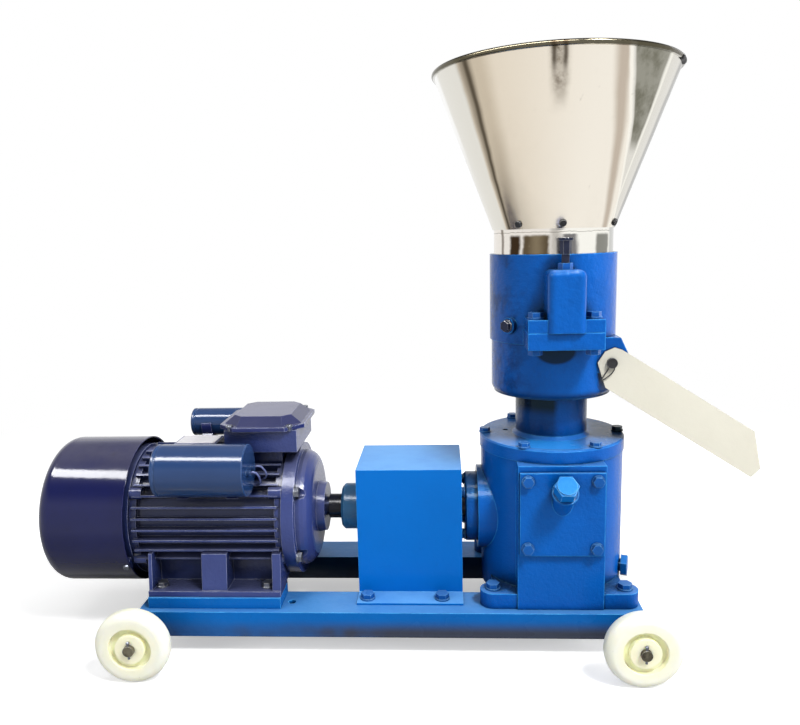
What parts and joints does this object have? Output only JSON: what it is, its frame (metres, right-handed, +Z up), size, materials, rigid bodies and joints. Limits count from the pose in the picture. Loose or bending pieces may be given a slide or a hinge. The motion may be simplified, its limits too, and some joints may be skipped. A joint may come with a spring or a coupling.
{
  "type": "flat-die feed pellet mill",
  "caption": "Small flat-die pellet mill on a wheeled channel frame: electric motor, guarded coupling, bevel gearbox, rotating die with press rollers, cone hopper and swinging chute.",
  "frame": {"origin": "on the floor, under the centre of the machine's bounding box", "axes": "+Z up, +X from the motor along the drive line to the pellet chute, +Y to the side away from the oil filler"},
  "size_m": [1.0076, 0.4002, 0.7914],
  "materials": {
    "machine_blue": "glossy hammered enamel",
    "rail_blue": "glossy enamel",
    "motor_navy": "gloss enamel",
    "capacitor_navy": "gloss",
    "stainless": "brushed",
    "machined_steel": "turned",
    "dark_steel": "oiled",
    "bolt_zinc": "zinc plated",
    "plate_silver": "blank rolled plate",
    "bolt_blue": "painted over",
    "gear_iron": "machined",
    "lamination": "bare",
    "copper_wire": "enamelled",
    "nylon_white": "translucent",
    "chute_white": "satin",
    "rubber_black": "matt",
    "plastic_black": "matt",
    "coupling_grey": "painted"
  },
  "bodies": {
    "machine": {"front_rail": "rail_blue", "rear_rail": "rail_blue", "cross_members": "rail_blue", "wheel_axles": "dark_steel", "axle_split_pins": "bolt_zinc", "motor_pads": "rail_blue", "motor_frame": "motor_navy", "stator_core": "lamination", "stator_windings": "copper_wire", "drive_end_shield": "motor_navy", "fan_end_shield": "motor_navy", "fan_cover": "motor_navy", "terminal_box": "motor_navy", "terminal_box_lid": "motor_navy", "cable_gland": "plastic_black", "start_capacitor": "capacitor_navy", "run_capacitor": "capacitor_navy", "capacitor_saddles": "motor_navy", "motor_nameplate": "plate_silver", "motor_bolts": "bolt_zinc", "coupling_guard": "machine_blue", "gearbox_housing": "machine_blue", "gearbox_top_cover": "machine_blue", "inspection_cover": "machine_blue", "input_bearing_housing": "machine_blue", "oil_plugs": "bolt_blue", "gearbox_and_guard_bolts": "bolt_blue", "shaft_bearings": "machined_steel", "shaft_seals": "rubber_black", "lower_chamber": "machine_blue", "upper_barrel": "machine_blue", "casing_screws": "dark_steel", "roller_brackets": "machine_blue", "bracket_fasteners": "bolt_blue", "chute_pins": "dark_steel"},
    "die_drive": {"main_shaft": "machined_steel", "crown_gear": "gear_iron", "die_plate": "machined_steel", "pellet_sweeper": "gear_iron", "die_nut": "dark_steel"},
    "motor_line": {"motor_shaft": "machined_steel", "rotor_core": "lamination", "cooling_fan": "plastic_black", "motor_coupling_half": "coupling_grey", "coupling_spider": "rubber_black", "gearbox_coupling_half": "coupling_grey", "pinion_shaft": "machined_steel"},
    "roller_carrier": {"roller_shaft": "machined_steel"},
    "front_press_roller": {"front_roller": "gear_iron"},
    "rear_press_roller": {"rear_roller": "gear_iron"},
    "front_screw": {"front_adjusting_screw": "dark_steel"},
    "rear_screw": {"rear_adjusting_screw": "dark_steel"},
    "hopper": {"hopper_cone": "stainless", "hopper_collar": "stainless", "hopper_screws": "dark_steel"},
    "chute": {"discharge_chute": "chute_white"},
    "front_left_wheel": {"wheel_front_left": "nylon_white"},
    "front_right_wheel": {"wheel_front_right": "nylon_white"},
    "rear_left_wheel": {"wheel_rear_left": "nylon_white"},
    "rear_right_wheel": {"wheel_rear_right": "nylon_white"}
  },
  "joints": [
    {"name": "die_spin", "type": "hinge", "parent": "machine", "child": "die_drive", "pos_m": [0.23122, 0, 0.174], "axis": [0, 0, 1], "continuous": true},
    {"name": "motor_spin", "type": "hinge", "parent": "machine", "child": "motor_line", "pos_m": [-0.06878, 0, 0.174], "axis": [1, 0, 0], "continuous": true},
    {"name": "front_screw_turn", "type": "hinge", "parent": "roller_carrier", "child": "front_screw", "pos_m": [0.23122, -0.11, 0.546], "axis": [0, 0, 1], "range_deg": [0, 720]},
    {"name": "rear_screw_turn", "type": "hinge", "parent": "roller_carrier", "child": "rear_screw", "pos_m": [0.23122, 0.11, 0.546], "axis": [0, 0, 1], "range_deg": [0, 720]},
    {"name": "roller_lift", "type": "slide", "parent": "machine", "child": "roller_carrier", "axis": [0, 0, 1], "range_m": [0, 0.003]},
    {"name": "front_roller_spin", "type": "hinge", "parent": "roller_carrier", "child": "front_press_roller", "pos_m": [0.23122, -0.045, 0.486], "axis": [0, 1, 0], "continuous": true},
    {"name": "rear_roller_spin", "type": "hinge", "parent": "roller_carrier", "child": "rear_press_roller", "pos_m": [0.23122, 0.045, 0.486], "axis": [0, 1, 0], "continuous": true},
    {"name": "hopper_lift_off", "type": "slide", "parent": "machine", "child": "hopper", "axis": [0, 0, 1], "range_m": [0, 0.06]},
    {"name": "chute_swing", "type": "hinge", "parent": "machine", "child": "chute", "pos_m": [0.30122, 0, 0.4005], "axis": [0, -1, 0], "range_deg": [0, 30]},
    {"name": "front_left_wheel_roll", "type": "hinge", "parent": "machine", "child": "front_left_wheel", "pos_m": [-0.33978, -0.182, 0.05], "axis": [0, 1, 0], "continuous": true},
    {"name": "front_right_wheel_roll", "type": "hinge", "parent": "machine", "child": "front_right_wheel", "pos_m": [0.32422, -0.182, 0.05], "axis": [0, 1, 0], "continuous": true},
    {"name": "rear_left_wheel_roll", "type": "hinge", "parent": "machine", "child": "rear_left_wheel", "pos_m": [-0.33978, 0.182, 0.05], "axis": [0, 1, 0], "continuous": true},
    {"name": "rear_right_wheel_roll", "type": "hinge", "parent": "machine", "child": "rear_right_wheel", "pos_m": [0.32422, 0.182, 0.05], "axis": [0, 1, 0], "continuous": true}
  ],
  "couplings": [
    {"joint": "motor_spin", "follows": "die_spin", "ratio": -4},
    {"joint": "front_roller_spin", "follows": "die_spin", "ratio": -1.2},
    {"joint": "rear_roller_spin", "follows": "die_spin", "ratio": 1.2},
    {"joint": "front_screw_turn", "follows": "roller_lift", "rad_per_m": 4188.8},
    {"joint": "rear_screw_turn", "follows": "roller_lift", "rad_per_m": 4188.8}
  ]
}
